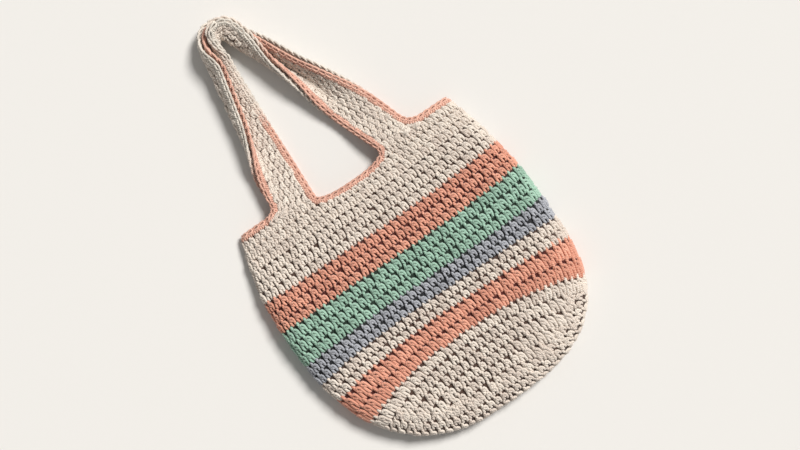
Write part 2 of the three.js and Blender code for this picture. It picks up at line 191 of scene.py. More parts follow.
def addPiece(name, parts, looks):
    # one mesh from parts laid end to end; a part holds points, quads, uv for each corner of a quad,
    # shade for each point and a material number
    counts = np.cumsum([0] + [len(part["points"]) for part in parts])
    points = np.concatenate([part["points"] for part in parts])
    quads = np.concatenate([part["quads"] + start for part, start in zip(parts, counts)])
    points[:, 2] = np.maximum(points[:, 2], yarn["floorGap"])
    mesh = bpy.data.meshes.new(name)
    mesh.vertices.add(len(points))
    mesh.vertices.foreach_set("co", points.astype(np.float32).ravel())
    mesh.loops.add(quads.size)
    mesh.loops.foreach_set("vertex_index", quads.astype(np.int32).ravel())
    mesh.polygons.add(len(quads))
    mesh.polygons.foreach_set("loop_start", np.arange(0, quads.size, 4, dtype=np.int32))
    numbers = np.concatenate([np.broadcast_to(part["look"], len(part["quads"])) for part in parts])
    mesh.polygons.foreach_set("material_index", numbers.astype(np.int32))
    mesh.update(calc_edges=True)
    mesh.polygons.foreach_set("use_smooth", np.ones(len(quads), bool))
    corners = np.concatenate([part["uv"].reshape(-1) for part in parts])
    mesh.uv_layers.new(name="yarn").data.foreach_set("uv", corners.astype(np.float32))
    for key in ("shade", "pale"):
        values = np.concatenate([part.get(key, np.zeros(len(part["points"]))) for part in parts])
        mesh.attributes.new(key, "FLOAT", "POINT").data.foreach_set("value", values.astype(np.float32))
    for look in looks:
        mesh.materials.append(look)
    mesh.validate()
    piece = bpy.data.objects.new(name, mesh)
    bpy.context.scene.collection.objects.link(piece)
    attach(piece, "root")
    return piece


def strandShape(knots, rings):
    # cubic curve through the knots, its slope at a knot half the step between that knot's neighbours,
    # sampled evenly in its parameter
    knots = np.asarray(knots, float)
    padded = np.vstack([2 * knots[0] - knots[1], knots, 2 * knots[-1] - knots[-2]])
    t = np.linspace(0, len(knots) - 1, rings)
    i = np.minimum(t.astype(int), len(knots) - 2)
    f = (t - i)[:, None]
    a, b, c, d = padded[i], padded[i + 1], padded[i + 2], padded[i + 3]
    return 0.5 * (2 * b + (c - a) * f + (2 * a - 5 * b + 4 * c - d) * f**2 + (3 * b - a - 3 * c + d) * f**3)


def yarnTubes(centres, normals, radius, shade):
    # round tubes: centre + radius (cos side + sin up), with side = normal x tangent and up = tangent x side
    count, rings = centres.shape[:2]
    sides = yarn["sides"]
    tangent = unit(np.gradient(centres, axis=1))
    side = unit(np.cross(normals, tangent))
    up = np.cross(tangent, side)
    angle = 2 * math.pi * np.arange(sides) / sides
    ring = side[:, :, None] * np.cos(angle)[:, None] + up[:, :, None] * np.sin(angle)[:, None]
    points = centres[:, :, None] + ring * radius[:, :, None, None]
    r, k = np.meshgrid(np.arange(rings - 1), np.arange(sides), indexing="ij")
    r, k = r.ravel(), k.ravel()
    n = (k + 1) % sides
    wall = np.stack([r * sides + k, r * sides + n, (r + 1) * sides + n, (r + 1) * sides + k], axis=1)
    firstCap = np.array([[0, 3, 2, 1], [0, 5, 4, 3]])  # two quads close a ring of six
    lastCap = np.array([[0, 1, 2, 3], [0, 3, 4, 5]]) + (rings - 1) * sides
    caps = np.concatenate([firstCap, lastCap])
    quads = np.concatenate([wall, caps])
    length = np.zeros((count, rings))
    length[:, 1:] = np.cumsum(np.linalg.norm(np.diff(centres, axis=1), axis=2), axis=1)
    corners = np.stack([length[:, r], length[:, r], length[:, r + 1], length[:, r + 1]], axis=2)
    turns = np.broadcast_to(np.stack([k, k + 1, k + 1, k], axis=1) / sides, corners.shape)
    wallUv = np.stack([corners, turns], axis=3)
    capUv = np.zeros((count, len(caps), 4, 2))
    starts = (np.arange(count) * rings * sides)[:, None, None]
    return {
        "points": points.reshape(-1, 3),
        "quads": (quads[None] + starts).reshape(-1, 4),
        "uv": np.concatenate([wallUv, capUv], axis=1),
        "shade": np.repeat(shade, rings * sides),
        "look": 0,
    }


def closedShell(lines, looks):
    # a skin over closed lines of points, closed on itself from the last line to the first
    rows, count = lines.shape[:2]
    r, k = np.meshgrid(np.arange(rows), np.arange(count), indexing="ij")
    s, n = (r + 1) % rows, (k + 1) % count
    quads = np.stack([r * count + k, s * count + k, s * count + n, r * count + n], axis=2).reshape(-1, 4)
    return {
        "points": lines.reshape(-1, 3),
        "quads": quads,
        "uv": np.zeros((len(quads), 4, 2)),
        "shade": np.full(rows * count, yarnLook["deepShade"]),
        "look": np.repeat(looks, count),
    }


body = {
    "widest": 0.167, "leftRim": 0.146, "rightRim": 0.142,  # half widths
    "leftWidestDrop": 0.118, "rightWidestDrop": 0.163,  # the bag is widest this far below the rim
    "slump": 0.080,  # the left side's values turn into the right side's between minus this x and this x
    "sideBow": 2.2, "leftBottomBow": 2.5, "rightBottomBow": 2.9,  # powers of the outline's curves
    "leftSpread": 0.25, "rightSpread": 0.345, "rowSag": 2.6,  # how the rows fan out and bend at their ends
    "rimHeight": 0.017, "height": 0.033, "swell": 0.113, "crown": 0.0025,  # lying height, rim to middle
    "foldLevel": 0.42, "pillowEdge": 10,  # level of the side folds, and the power that rounds them
    "press": 1.06,  # the underside would reach this many times as low, so it lies flat
    "thickness": 0.0045, "backing": 0.0031,  # depth of the backing under the yarn's tops
    "insideRows": 3, "insideBacking": 0.0034,  # the rows whose inside shows in the mouth
    "liningEnd": (0.9, 1.1), "liningWave": 0.0004,  # the inner skin's step, as a share, and its ripple
    "backingColumns": 192, "backingLines": 4,  # round the bag, and to a row
    "backingStop": 0.985,  # share of the base at which its backing ends
    "stitches": 76,  # in a round
    "softFolds": [(-0.042, 0.030, 0.045, 0.034, 0.0024), (0.050, 0.024, 0.034, 0.030, -0.0016),
                  (-0.105, 0.030, 0.060, 0.050, -0.0012)],  # x, half width, drop, half length, height
}
stripes = [  # name, rows, height of a row, yarn
    ("upper_body", 6, 0.0126, "cream"),
    ("upper_coral_stripe", 3, 0.0122, "coral"),
    ("green_stripe", 3, 0.0134, "green"),
    ("grey_stripe", 2, 0.0107, "grey"),
    ("cream_stripe", 2, 0.0105, "cream"),
    ("lower_coral_stripe", 2, 0.0154, "coral"),
    ("base", 8, 0.0120, "cream"),
]
bodyLength = sum(rows * height for _, rows, height, _ in stripes)


def leftToRight(x, left, right):  # the left side's value turning into the right side's
    return mix(left, right, smooth(x, -body["slump"], body["slump"]))


def widestDrop(x):  # drop at which the bag is widest, blended from side to side
    return leftToRight(x, body["leftWidestDrop"], body["rightWidestDrop"])


def bottomBow(x):  # power of the bottom edge's superellipse, blended from side to side
    return leftToRight(x, body["leftBottomBow"], body["rightBottomBow"])


def upperHalfWidth(x, drop):  # widest half width, drawn in towards the rim by a power of the rise
    rise = np.maximum(0, 1 - drop / widestDrop(x))
    return mix(body["widest"], leftToRight(x, body["leftRim"], body["rightRim"]), rise ** body["sideBow"])


def outlineShare(x, drop):  # superellipse radius: 0 in the panel's middle, 1 on the outline
    widest, bow = widestDrop(x), bottomBow(x)
    across = np.abs(x) / upperHalfWidth(x, drop)
    down = np.maximum(0, drop - widest) / (bodyLength - widest)
    return np.minimum(1, (across**bow + down**bow) ** (1 / bow))


def sideOutline(side, steps=48):
    # x and drop down a side from the rim, then along a superellipse to the middle of the bottom edge
    edge = side * body["widest"]
    upper = np.linspace(0, widestDrop(edge), steps, endpoint=False)
    share = np.maximum(0, np.cos(np.linspace(0, math.pi / 2, steps + 1))) ** (2 / bottomBow(edge))
    share[-1] = 0
    bows = bottomBow(edge * share)
    drops = mix(widestDrop(edge * share), bodyLength, (1 - share**bows) ** (1 / bows))
    x = np.concatenate([side * upperHalfWidth(edge, upper), edge * share])
    return np.stack([x, np.concatenate([upper, drops])], axis=1)


def lineLength(points):  # sum of the steps
    return float(np.linalg.norm(np.diff(points, axis=0), axis=1).sum())


def alongLine(points, shares):  # points at shares of a polyline's length
    length = np.concatenate([[0], np.cumsum(np.linalg.norm(np.diff(points, axis=0), axis=1))])
    return np.stack([np.interp(shares * length[-1], length, column) for column in points.T], axis=-1)


def heightAt(drop):  # flat height of the body, swelling from the rim down
    return mix(body["rimHeight"], body["height"], smooth(drop, 0, body["swell"]))


def panelHeight(drop, edge, face):
    # fold + (top - fold) sqrt(1 - share^n), a flat pillow; the underside is pressed flat from the fold down
    pillow = np.sqrt(1 - edge ** body["pillowEdge"])
    fold = body["foldLevel"] * heightAt(drop)
    if face < 0:
        return np.maximum(0, fold - body["press"] * fold * pillow)
    return fold + (heightAt(drop) + body["crown"] * (1 - edge**2) - fold) * pillow


leftOutline, rightOutline = sideOutline(-1), sideOutline(1)
rowSamples = 241  # points along a row before it is sampled evenly


def endShare(drop, spread):  # where a row ends along an outline: the drop's share mixed with its cube
    share = drop / bodyLength
    return mix(share, share**3, body[spread])


def rowEnds(drops):  # a row's ends on the left and the right outline
    return (alongLine(leftOutline, endShare(drops, "leftSpread")),
            alongLine(rightOutline, endShare(drops, "rightSpread")))


def fabricFace(drops, face, columns):
    # rows bend from their middle to their ends by a power of the distance across; each row is then
    # sampled evenly along itself
    left, right = rowEnds(drops)
    across = -np.cos(np.linspace(0, math.pi, rowSamples))
    x = mix(left[:, :1], right[:, :1], (across + 1) / 2)
    end = np.where(across < 0, left[:, 1:], right[:, 1:])
    drop = drops[:, None] + (end - drops[:, None]) * np.abs(across) ** body["rowSag"]
    edge = outlineShare(x, drop)
    edge[:, [0, -1]] = 1
    height = panelHeight(drop, edge, face)
    if face > 0:
        for foldX, width, foldDrop, length, rise in body["softFolds"]:  # rounded hills and hollows
            height += rise * np.exp(-((x - foldX) / width) ** 2 - ((drop - foldDrop) / length) ** 2)
    lines = np.stack([x, rimY - drop, height], axis=2)
    return np.stack([alongLine(line, np.linspace(0, 1, columns + 1)) for line in lines])


latticeColumns, latticeRows = 288, 270  # columns on each face
latticeDrops = np.linspace(0, bodyLength, latticeRows)
upperFace = fabricFace(latticeDrops, 1, latticeColumns)
lowerFace = fabricFace(latticeDrops, -1, latticeColumns)
# round the bag, from the left fold
lattice = np.concatenate([upperFace[:, :-1], lowerFace[:, :0:-1]], axis=1)


def gridNormals(grid, wrapped):
    # step down the columns x step along the rows, whose ends meet where the grid is wrapped
    along = np.gradient(grid, axis=1)
    if wrapped:
        along = np.roll(grid, -1, axis=1) - np.roll(grid, 1, axis=1)
    return unit(np.cross(np.gradient(grid, axis=0), along))


latticeNormals = gridNormals(lattice, True)


def onGrid(grid, normals, r, c, lift):
    # blend of the grid's four nearest points, raised along the blended normal
    r0 = np.clip(np.floor(r).astype(int), 0, len(grid) - 2)
    c0 = np.floor(c).astype(int)
    fr, fc = np.clip(r - r0, 0, 1)[..., None], (c - c0)[..., None]
    c0, c1 = c0 % grid.shape[1], (c0 + 1) % grid.shape[1]

    def blend(values):  # straight blend along the two rows, then between them
        upper = mix(values[r0, c0], values[r0, c1], fc)
        lower = mix(values[r0 + 1, c0], values[r0 + 1, c1], fc)
        return mix(upper, lower, fr)

    normal = unit(blend(normals))
    return blend(grid) + normal * lift[..., None], normal


def onFabric(turn, drop, lift):  # the lattice at a turn, 0 to 1 above and 1 to 2 below, and a drop
    r = np.clip(drop / bodyLength, 0, 1) * (latticeRows - 1)
    return onGrid(lattice, latticeNormals, r, (turn % 2) * latticeColumns, lift)


strap = {
    "width": 0.036, "leftRoot": -0.0718, "rightRoot": 0.0655,  # x of the strap's middle at the rim
    "leftTop": -0.0542, "rightTop": -0.0331, "rise": 0.224, "leftTopDrop": 0.024,  # ends of the slanting top
    "bendAt": 0.0207, "bendShare": 0.482,  # where the right leg bends: x, and a share of the rise
    "turns": (0.030, 0.013, 0.150),  # radii of the crease's corners
    # the crease's distance from the strap's middle, at the root and at the end of a leg
    "leftCrease": (0.014, -0.008), "rightCrease": (-0.010, 0.002), "topCrease": 0.011,
    "rootFillet": 0.016, "creaseRadius": 0.006, "layerGap": 0.002, "rootRun": 0.070,
    "leftOuter": (132, 0.08, 0.6), "leftInner": (15, 0.25, 0.8),  # lean in degrees and where it sets in
    "rightOuter": (60, 0.1, 0.65), "rightInner": (120, 0.2, 0.9), "topOuter": 25, "topInner": 150,
    "twist": (0.9, 1.25), "untwist": 0.3,  # where one fold turns into the next, in shares of a leg
    "joinGap": 0.0003,  # between the strap's root and the rim
    "columns": 5, "rowHeight": 0.0088, "yarn": 1.1, "firstRow": -0.45, "marchShare": 0.5,
    "slabColumns": 17, "slabRings": 3, "slabExtra": 0.0009,  # rings to a row, thickness over the backing's
    "arcSteps": 60, "runSamples": 1500, "edgeSamples": 700, "probe": 1e-4,  # samples, step for normals
}
neck = {"depth": 0.019, "bow": 2.6, "rows": 3, "margin": 0.0012}  # rows that it crowds, room for the edging
neckLeft = strap["leftRoot"] + strap["width"] / 2
neckRight = strap["rightRoot"] - strap["width"] / 2


def neckDrop(x):  # superellipse dip of the rim between the legs
    across = np.minimum(1, np.abs(2 * x - neckLeft - neckRight) / (neckRight - neckLeft))
    return neck["depth"] * (1 - across ** neck["bow"]) ** (1 / neck["bow"])


def rimTurn(x):  # share along the rim's upper face at a given x
    return np.interp(x, upperFace[0, :, 0], np.linspace(0, 1, latticeColumns + 1))


# each stitch is three strands: across in stitch widths, up in row heights, lift in metres, thickness
stitch = {
    "leftLeg": [(-0.13, 0.08, -0.0036, 0.85), (-0.215, 0.12, -0.0022, 1.05), (-0.26, 0.24, -0.0015, 1.15),
                (-0.265, 0.44, -0.0016, 1.1), (-0.26, 0.66, -0.0020, 1.0), (-0.25, 0.88, -0.0018, 1.15),
                (-0.24, 1.03, -0.0018, 1.25), (-0.24, 1.17, -0.0044, 0.75)],
    "rightLeg": [(0.13, 0.08, -0.0036, 0.85), (0.215, 0.12, -0.0022, 1.05), (0.265, 0.24, -0.0015, 1.15),
                 (0.28, 0.42, -0.0014, 1.15), (0.28, 0.59, -0.0012, 1.1), (0.17, 0.73, -0.0009, 1.1),
                 (-0.08, 0.76, -0.0008, 1.15), (-0.28, 0.76, -0.0012, 1.05), (-0.40, 0.71, -0.0036, 0.8)],
    "yarnOver": [(-0.36, 0.60, -0.0036, 0.8), (-0.20, 0.56, -0.0012, 1.0), (0.0, 0.50, -0.0010, 1.05),
                 (0.17, 0.43, -0.0013, 1.0), (0.30, 0.36, -0.0036, 0.8)],
    "rings": {"leftLeg": 8, "rightLeg": 9, "yarnOver": 6},
    "hidden": ("leftLeg", "rightLeg"),  # strands on a side that hardly shows
    "radius": 0.0014, "usualHeight": 0.0124, "spread": (0.85, 1.45), "stretch": 0.26,
    "fullness": {"cream": 1.07, "coral": 1.0, "green": 1.0, "grey": 1.0},
    "sway": (0.032, 0.04, 0.065, 0.12), "liftSway": 0.0004,  # across, up, in width and in lean
    "march": 0.74,  # each row starts this share of a stitch further on, so posts rise between the loops
    "reach": 0.3,  # a stitch is left out where its middle lies further than this past an edge, in heights
}


def stitchRow(surface, across, up, width, height, radius, strands=tuple(stitch["rings"])):
    # the strands of every stitch of a row, each swayed a little, laid on a surface of (across, up, lift);
    # where the row spreads out its yarn is fuller, by a square root, and the stitch a little longer;
    # a stitch leans and stretches about its middle
    parts = []
    count = len(across)
    foot, head = surface(across, up, across * 0)[0], surface(across, up + height, across * 0)[0]
    spread = np.clip(np.linalg.norm(head - foot, axis=1) / height, *stitch["spread"])[:, None]
    stretch = 1 + stitch["stretch"] * (spread * (radius / stitch["radius"]) ** 2 - 1)
    yarnSize = radius * np.sqrt(spread)
    sway = dice.normal(0, 1, (count, 4)) * stitch["sway"]
    lift = dice.normal(0, stitch["liftSway"], count)
    shade = dice.uniform(0, 1, count)
    for strand in strands:
        shape = strandShape(stitch[strand], stitch["rings"][strand])
        lean = sway[:, 3:] * (shape[:, 1] - 0.5)
        a = across[:, None] + (shape[:, 0] * (1 + sway[:, 2:3]) + sway[:, :1] + lean) * width
        b = up[:, None] + (0.5 + (shape[:, 1] - 0.5) * stretch + sway[:, 1:2]) * height
        centres, normals = surface(a, b, shape[:, 2] + lift[:, None] + stitch["radius"] - yarnSize)
        parts.append(yarnTubes(centres, normals, yarnSize * shape[:, 3], shade))
    return parts


def yarnRadius(height, colour):  # a taller row has fuller yarn, by the square root of its height
    return stitch["radius"] * stitch["fullness"][colour] * math.sqrt(height / stitch["usualHeight"])


def rowStitches(top, rows, height, firstRow, radius):
    # rounds of the bag, each one marching on from the one above
    parts = []
    count = body["stitches"]
    for row in range(rows):
        low = top + (row + 1) * height
        middle = low - height / 2
        turns = (np.arange(count) + stitch["march"] * (firstRow + row)) * 2 / count

        def surface(a, b, lift):  # the fabric at a turn and a height over the row's foot, below the rim
            drop = low - b
            x = onFabric(a, drop, lift * 0)[0][..., 0]
            return onFabric(a, np.maximum(drop, neckDrop(x) + neck["margin"]), lift)

        def inside(a, b, lift):  # the same place from within, its lift counted from the inner skin
            place, normal = surface(a, b, -body["thickness"] - lift)
            return place, -normal

        x = onFabric(turns, np.full(count, middle), np.zeros(count))[0][:, 0]
        turns = turns[middle + height * stitch["reach"] > neckDrop(x)]
        parts += stitchRow(surface, turns, turns * 0, 2 / count, height, radius)
        if firstRow + row < body["insideRows"]:
            parts += stitchRow(inside, turns, turns * 0, 2 / count, height, radius, stitch["hidden"])
    return parts


baseRows = {
    "hemRounds": (-2, -1, 0, 1, 2),  # rounds along the outline, counted upwards from the fold
    "inset": {1: 0.018, -1: 0.014},  # the straight rows end this far inside the outline
    "stitchWidth": 0.0090, "halfRow": 24,  # stitches of the longest straight row to each side
    "hemReach": (-0.030, 0.045), "hemStep": 0.0005,
    "hemSamples": 200, "hemColumns": 260, "hemLines": 90, "hemShare": 0.5,  # drawn in by this share
    "lastShare": 0.999, "firstShare": 0.1, "leastWidth": 1e-4,  # limits that keep every share in range
}


def baseRowPoint(x, row, face):
    # the row's own drop at x, bent as on the fabric's faces, the height there and the inset from the edge
    left, right = rowEnds(row)
    width = np.maximum(right[..., 0] - left[..., 0], baseRows["leastWidth"])
    across = np.clip(2 * (x - left[..., 0]) / width - 1, -1, 1)
    end = np.where(across < 0, left[..., 1], right[..., 1])
    drop = row + (end - row) * np.abs(across) ** body["rowSag"]
    edge = np.minimum(outlineShare(x, drop), baseRows["lastShare"])
    fromCentre = np.hypot(x, drop - widestDrop(x))
    inset = (1 / np.maximum(edge, baseRows["firstShare"]) - 1) * fromCentre
    return np.stack([x, rimY - drop, panelHeight(drop, edge, face)], axis=-1), inset


def onBaseRow(x, row, face, lift):  # raised along the normal: step down the rows x step across
    step = 2e-4
    down = baseRowPoint(x, row + step, face)[0] - baseRowPoint(x, row - step, face)[0]
    across = baseRowPoint(x + step, row, face)[0] - baseRowPoint(x - step, row, face)[0]
    normal = unit(np.cross(down, across)) * face
    return baseRowPoint(x, row, face)[0] + normal * lift[..., None], normal


def hemGrid(baseTop):
    # lines that run over the edge: the outline drawn in about its widest point, each line sampled evenly
    # by its distance from the fold, from above to below
    samples = baseRows["hemSamples"]
    left = alongLine(leftOutline, np.linspace(endShare(baseTop, "leftSpread"), 1, samples))
    right = alongLine(rightOutline, np.linspace(1, endShare(baseTop, "rightSpread"), samples))
    hem = np.concatenate([left, right[1:]])
    hemLength = lineLength(hem)
    hem = alongLine(hem, np.linspace(0, 1, baseRows["hemColumns"]))
    inward = 1 - baseRows["hemShare"] * np.linspace(0, 1, baseRows["hemLines"]) ** 3  # closest at the fold
    x = inward[:, None] * hem[:, 0]
    drop = mix(widestDrop(hem[:, 0]), hem[:, 1], inward[:, None])
    edge = outlineShare(x, drop)
    edge[0] = 1
    above, below = (np.stack([x, rimY - drop, panelHeight(drop, edge, face)], axis=2)
                    for face in (1, -1))
    lines = np.concatenate([above[::-1], below[1:]])
    fold = len(above) - 1
    low, high = baseRows["hemReach"]
    reach = np.arange(high, low, -baseRows["hemStep"])
    length = np.zeros(lines.shape[:2])
    length[1:] = np.cumsum(np.linalg.norm(np.diff(lines, axis=0), axis=2), axis=0)
    fromFold = length[fold] - length
    columns = [[np.interp(-reach, -fromFold[:, k], lines[:, k, i]) for i in range(3)]
               for k in range(len(hem))]
    return np.array(columns).transpose(2, 0, 1), hemLength


def baseStitches(top, rows, height, firstRow, radius):
    # the first row goes round the bag, the others run straight across both faces, inside rounds
    # along the edge
    parts = rowStitches(top, 1, height, firstRow, radius)
    width = baseRows["stitchWidth"]
    for face in (1, -1):
        for row in range(1, rows):
            low = top + (row + 1) * height
            numbers = np.arange(-baseRows["halfRow"], baseRows["halfRow"])
            x = (numbers + stitch["march"] * row % 1) * width
            inset = baseRowPoint(x, np.full(len(x), low - height / 2), face)[1]
            left, right = rowEnds(np.array([low - height / 2]))
            x = x[(inset > baseRows["inset"][face]) & (x > left[0, 0]) & (x < right[0, 0])]

            def across(a, b, lift):  # the straight row at x and a height over its foot
                return onBaseRow(a, low - b, face, lift)

            parts += stitchRow(across, x, x * 0, width, height, radius)
    grid, hemLength = hemGrid(top)
    normals = gridNormals(grid, False)
    count = int(hemLength / width)
    for ring in baseRows["hemRounds"]:
        along = (np.arange(count) - stitch["march"] * ring % 1) / count

        def overEdge(a, b, lift):  # the hem at a share along the edge and a height over the round's foot
            r = (baseRows["hemReach"][1] - b - ring * height) / baseRows["hemStep"]
            c = np.clip(a, 0, baseRows["lastShare"]) * (grid.shape[1] - 1)
            return onGrid(grid, normals, r, c, lift)

        middle = overEdge(along, np.full(count, height / 2), np.zeros(count))[0]
        firstLow = rimY - baseRowPoint(middle[:, 0], np.full(count, top + height), 1)[0][:, 1]
        along = along[rimY - middle[:, 1] > firstLow - height * stitch["reach"]]
        parts += stitchRow(overEdge, along, along * 0, 1 / count, height, radius)
    return parts


def bodyBacking(top, rows, height, isBase):
    # shell under the yarn: outer skin at the backing's depth, in painted shade, inner skin at the fabric's
    # inside
    turn = np.linspace(0, 2, body["backingColumns"], endpoint=False)
    stop = body["backingStop"] if isBase else 1
    drops = np.linspace(top, top + rows * height * stop, rows * body["backingLines"] + 1)
    rimX = onFabric(turn, turn * 0, turn * 0)[0][:, 0]
    crowd = np.maximum(0, 1 - drops / (neck["rows"] * stripes[0][2]))[:, None]
    drop = drops[:, None] + crowd * neckDrop(rimX)
    turnGrid = np.broadcast_to(turn, drop.shape)
    wave = body["liningWave"] * np.cos(2 * math.pi * (drops - top) / height)[:, None]
    outer, _ = onFabric(turnGrid, drop, np.full(drop.shape, -body["backing"]))
    lining = body["insideRows"] * stripes[0][2]  # behind stitches the inner skin lies nearer the backing
    below = smooth(drops, *(lining * share for share in body["liningEnd"]))
    depth = mix(body["insideBacking"], body["thickness"], below)[:, None]
    inner, _ = onFabric(turnGrid, drop, wave - depth + drop * 0)
    lines = np.concatenate([outer, inner[::-1]])
    # the outer skin takes the painted shade material, the lip and the inner skin the plain yarn
    looks = np.concatenate([np.ones(len(outer) - 1), np.zeros(len(inner) + 1)])
    return closedShell(lines, looks)


top, firstRow = 0.0, 0
for name, rows, height, colour in stripes:
    isBase = name == "base"
    lay = baseStitches if isBase else rowStitches
    parts = lay(top, rows, height, firstRow, yarnRadius(height, colour))
    parts.append(bodyBacking(top, rows, height, isBase))
    piece = addPiece(name + "_crochet", parts, [materials[colour], paintedShadeMaterials[colour]])
    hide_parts(name)
    print(name, "crocheted with", len(piece.data.polygons), "faces")
    top += rows * height
    firstRow += rows


def creaseLine():
    # left leg, slanting top and right leg with its bend, every corner rounded by a tangent arc
    leftFoot = np.array([strap["leftRoot"] - strap["leftCrease"][0], 0.0])
    leftCorner = np.array([strap["leftTop"], strap["rise"] - strap["leftTopDrop"]])
    rightCorner = np.array([strap["rightTop"], strap["rise"]])
    rightBend = np.array([strap["bendAt"], strap["bendShare"] * strap["rise"]])
    rightFoot = np.array([strap["rightRoot"] + strap["rightCrease"][0], 0.0])
    plan = (leftFoot, leftCorner, rightCorner, rightBend, rightFoot)
    arcs = []
    for before, corner, after, radius in zip(plan, plan[1:], plan[2:], strap["turns"]):
        into, out = unit(corner - before), unit(after - corner)
        turn = math.acos(float(into @ out))
        start = corner - into * radius * math.tan(turn / 2)
        inward = np.array([into[1], -into[0]])
        angle = np.linspace(0, turn, strap["arcSteps"])[:, None]
        arcs.append(start + radius * (inward * (1 - np.cos(angle)) + into * np.sin(angle)))
    return np.concatenate([leftFoot[None], *arcs, rightFoot[None]]), arcs


creasePoints, creaseArcs = creaseLine()
handleRun = lineLength(creasePoints)
leftRun = lineLength(creasePoints[:2])
turnEnd = lineLength(creasePoints[:1 + len(creaseArcs[0]) + len(creaseArcs[1])])
rightRun = handleRun - turnEnd
creaseRuns = np.linspace(0, handleRun, strap["runSamples"])
creasePlan = alongLine(creasePoints, creaseRuns / handleRun)
creaseDirection = unit(np.gradient(creasePlan, axis=0))


def strapFold(run):
    # leans of both halves and the crease's distance from the middle: the left leg's fold turns into the
    # top's, and that into the right leg's, each by a smooth step along the run
    left, right = np.clip(run / leftRun, 0, 1), np.clip((handleRun - run) / rightRun, 0, 1)
    rising = smooth(run, strap["twist"][0] * leftRun, strap["twist"][1] * leftRun)
    falling = smooth(run, turnEnd, turnEnd + strap["untwist"] * rightRun)

    def lean(name, share):  # degrees that grow by a smooth step along a leg
        degrees, low, high = strap[name]
        return degrees * smooth(share, low, high)

    def blend(onLeft, onTop, onRight):  # left leg into top, then into right leg
        return mix(mix(onLeft, onTop, rising), onRight, falling)

    outer = np.radians(blend(lean("leftOuter", left), strap["topOuter"], lean("rightOuter", right)))
    inner = np.radians(blend(lean("leftInner", left), strap["topInner"], lean("rightInner", right)))
    shift = blend(mix(*strap["leftCrease"], left), strap["topCrease"], mix(*strap["rightCrease"], right))
    return outer, inner, shift


def strapPlace(face, run, across, proud):
    # the strap bends about its crease: each half is an arc of the crease's radius and then a straight flap;
    # at the root its outer edge flares by a quarter circle
    beyondRoot = run - np.clip(run, 0, handleRun)
    run = np.clip(run, 0, handleRun)
    plan = np.stack([np.interp(run, creaseRuns, creasePlan[:, i]) for i in (0, 1)], axis=-1)
    along = np.stack([np.interp(run, creaseRuns, creaseDirection[:, i]) for i in (0, 1)], axis=-1)
    plan = plan + along * beyondRoot[..., None]
    nearRoot = np.minimum(run, handleRun - run)
    settled = smooth(nearRoot, 0, strap["rootRun"])
    outward = np.stack([-along[..., 1], along[..., 0]], axis=-1)
    rimSide = np.stack([np.where(run < handleRun / 2, -1.0, 1.0), run * 0], axis=-1)
    side = unit(mix(rimSide, outward, settled[..., None]))
    outer, inner, shift = strapFold(run)
    spacing = mix(body["rimHeight"] + body["crown"] - body["thickness"],
                  body["thickness"] + strap["layerGap"], settled)
    lift = face * spacing / 2 + proud
    fromCrease = across - shift
    radius = strap["creaseRadius"]
    angle = np.minimum(np.abs(fromCrease) / radius, np.where(fromCrease > 0, outer, inner))
    beyond = np.abs(fromCrease) - radius * angle
    reach = radius * np.sin(angle) + beyond * np.cos(angle) - lift * np.sin(angle)
    rise = radius * (1 - np.cos(angle)) + beyond * np.sin(angle) + lift * np.cos(angle)
    flare = np.where(across > 0, np.maximum(0, strap["rootFillet"] - nearRoot), 0)
    fillet = strap["rootFillet"] - np.sqrt(strap["rootFillet"] ** 2 - flare**2)
    fillet = fillet * across / (strap["width"] / 2)
    place = plan + side * (np.sign(fromCrease) * reach + np.maximum(0, fillet))[..., None]
    y = rimY + place[..., 1] + strap["joinGap"] * (1 - settled)
    return np.stack([place[..., 0], y, rise + (body["thickness"] + spacing) / 2], axis=-1)


def onStrap(face, side):
    # surface of one face of a strap, with its outward normal; lift is measured from the yarn's tops
    def surface(across, run, lift):  # normal: a small step outwards
        proud = side * (body["thickness"] / 2 + lift)
        place = strapPlace(face, run, across, proud)
        return place, unit(strapPlace(face, run, across, proud + side * strap["probe"]) - place)

    return surface


def handleParts(face):
    # rows of a few stitches from root to root on both faces of the strap, each row shifted by its march
    rows = int(round(handleRun / strap["rowHeight"]))
    height = handleRun / rows
    width = strap["width"] / strap["columns"]
    middles = (np.arange(strap["columns"]) + 0.5) * width - strap["width"] / 2
    march = (stitch["march"] * np.arange(rows + 1)) % 1 - 0.5
    shift = np.repeat(march, strap["columns"]) * width * strap["marchShare"]
    across = np.tile(middles, rows + 1) - shift
    up = np.repeat(np.arange(rows + 1) + strap["firstRow"], strap["columns"]) * height
    radius = stitch["radius"] * strap["yarn"]
    parts = []
    for side in (1, -1):
        strands = stitch["hidden"] if side != face else tuple(stitch["rings"])
        parts += stitchRow(onStrap(face, side), across, up, width, height, radius, strands)
    # backing slab, in painted shade: rings round the strap's section from root to root
    runs = np.linspace(0, handleRun, rows * strap["slabRings"])[:, None]
    columns = strap["slabColumns"]
    edge = np.linspace(-1, 1, columns) * strap["width"] / 2
    section = np.concatenate([edge, edge[::-1]])
    half = body["thickness"] / 2 - body["backing"] + strap["slabExtra"]
    proud = np.repeat([half, -half], columns)
    rings = strapPlace(face, runs + section * 0, section + runs * 0, proud + runs * 0)
    shell = closedShell(rings, np.ones(len(rings)))
    # the whole slab takes the painted shade material
    shell["look"] = 1
    # the last band would join root to root, so it is left out and both ends are capped
    closing = len(section)
    k = np.arange(columns - 1)
    start = np.stack([k, k + 1, closing - 2 - k, closing - 1 - k], axis=1)
    end = start[:, ::-1] + (len(rings) - 1) * closing
    shell["quads"] = np.concatenate([shell["quads"][:-closing], start, end])
    shell["uv"] = np.zeros((len(shell["quads"]), 4, 2))
    return parts + [shell]


